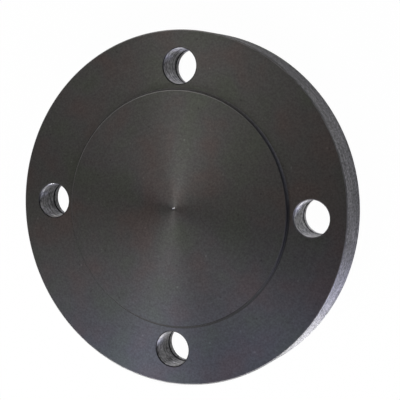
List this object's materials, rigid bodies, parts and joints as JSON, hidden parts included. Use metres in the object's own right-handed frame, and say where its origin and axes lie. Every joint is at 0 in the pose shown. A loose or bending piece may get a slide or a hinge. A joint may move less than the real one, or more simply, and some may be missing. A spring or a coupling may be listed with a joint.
{
  "type": "blind flange",
  "caption": "Round blank steel pipe flange with a low raised sealing face on one side and a circle of drilled bolt holes, for closing the end of a pipe.",
  "frame": {"origin": "centre of the flat back face, on the flange's axis", "axes": "+Z out of the back face along the axis, through the raised face; +X and +Y through two of the bolt holes. The flange lies flat on its back face, raised face up."},
  "size_m": [0.1906, 0.1906, 0.0243],
  "materials": {
    "turned_steel": "satin"
  },
  "bodies": {
    "root": {"blind_flange": "turned_steel"}
  },
  "joints": []
}
